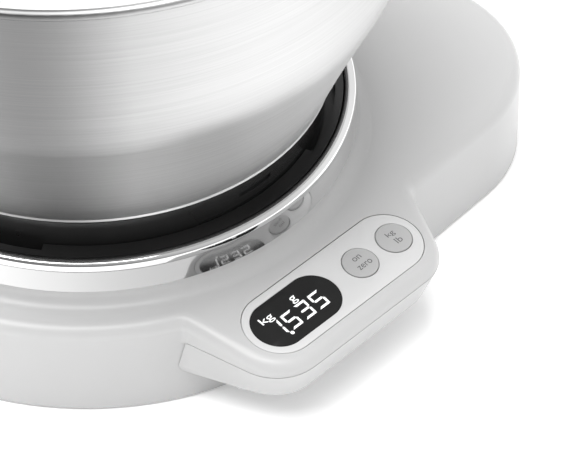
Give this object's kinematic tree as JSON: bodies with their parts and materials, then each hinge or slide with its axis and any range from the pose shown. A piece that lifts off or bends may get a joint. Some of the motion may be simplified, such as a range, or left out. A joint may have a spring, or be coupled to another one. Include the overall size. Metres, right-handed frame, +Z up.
{
  "type": "kitchen scale",
  "caption": "Kitchen scale: low light grey base with a round weighing seat in a chrome collar, a lift-off steel bowl and a sloping front pod with display and buttons.",
  "frame": {"origin": "middle of the bounding box on the table, under the feet", "axes": "+X along the control pod towards the unit button and the long end of the base, +Y from the pod to the back, +Z up"},
  "size_m": [0.301, 0.2862, 0.207],
  "materials": {
    "housing": "satin moulding",
    "fascia": "fine satin",
    "button": "fine satin",
    "display_window": "glossy dark lens",
    "chrome": "polished",
    "black_plastic": "semi gloss",
    "brushed_steel": "brushed round the axis",
    "soft_seal": "matt",
    "foot_rubber": "matt",
    "cast_aluminium": "as cast",
    "plated_steel": "zinc plated",
    "circuit_board": "solder mask",
    "display_glass": "polished",
    "light_guide": "clear white",
    "sealant": "matt",
    "cable": "flexible jacket",
    "battery_can": "satin wrap"
  },
  "bodies": {
    "base": {"top_cover": "housing", "pod_lower_shell": "housing", "control_fascia": "fascia", "display_window": "display_window", "seat_collar": "chrome", "bottom_plate": "black_plastic", "battery_tray": "black_plastic", "panel_frame": "black_plastic", "beeper": "black_plastic", "board_chips": "black_plastic", "splash_seal": "soft_seal", "fascia_gasket": "soft_seal", "zero_dome": "soft_seal", "unit_dome": "soft_seal", "rubber_feet": "foot_rubber", "load_cell_beam": "cast_aluminium", "fixed_cell_spacer": "cast_aluminium", "chassis_plate": "plated_steel", "overload_stops": "plated_steel", "chassis_screws": "plated_steel", "fixed_cell_screws": "plated_steel", "cover_screws": "plated_steel", "pod_screws": "plated_steel", "board_screws": "plated_steel", "frame_screws": "plated_steel", "main_board_screws": "plated_steel", "battery_contacts": "plated_steel", "control_board": "circuit_board", "main_board": "circuit_board", "display_module": "display_glass", "light_guide": "light_guide", "gauge_sealant": "sealant", "display_cable": "cable", "load_cell_cable": "cable", "battery_leads": "cable", "battery_cells": "battery_can"},
    "weighing": {"weighing_seat": "black_plastic", "seat_pads": "soft_seal", "seat_screws": "plated_steel", "platform_spider": "cast_aluminium", "free_cell_spacer": "cast_aluminium", "free_cell_screws": "plated_steel"},
    "bowl": {"bowl_shell": "brushed_steel", "bowl_base_ring": "black_plastic"},
    "zero_button": {"zero_button": "button"},
    "unit_button": {"unit_button": "button"},
    "battery_door": {"battery_door": "black_plastic"}
  },
  "joints": [
    {"name": "platform_travel", "type": "slide", "parent": "base", "child": "weighing", "axis": [0, 0, 1], "range_m": [-0.0006, 0], "stiffness_N_per_m": 120000, "deforming": ["load_cell_beam"]},
    {"name": "bowl_lift", "type": "slide", "parent": "weighing", "child": "bowl", "axis": [0, 0, 1], "range_m": [0, 0.15]},
    {"name": "zero_button_press", "type": "slide", "parent": "base", "child": "zero_button", "axis": [0, 0.1599, -0.9871], "range_m": [0, 0.0008], "stiffness_N_per_m": 1500, "springref_m": -0.0004, "deforming": ["zero_dome"]},
    {"name": "unit_button_press", "type": "slide", "parent": "base", "child": "unit_button", "axis": [0, 0.1599, -0.9871], "range_m": [0, 0.0008], "stiffness_N_per_m": 1500, "springref_m": -0.0004, "deforming": ["unit_dome"]},
    {"name": "battery_door_slide", "type": "slide", "parent": "base", "child": "battery_door", "axis": [0, 1, 0], "range_m": [0, 0.008]}
  ]
}
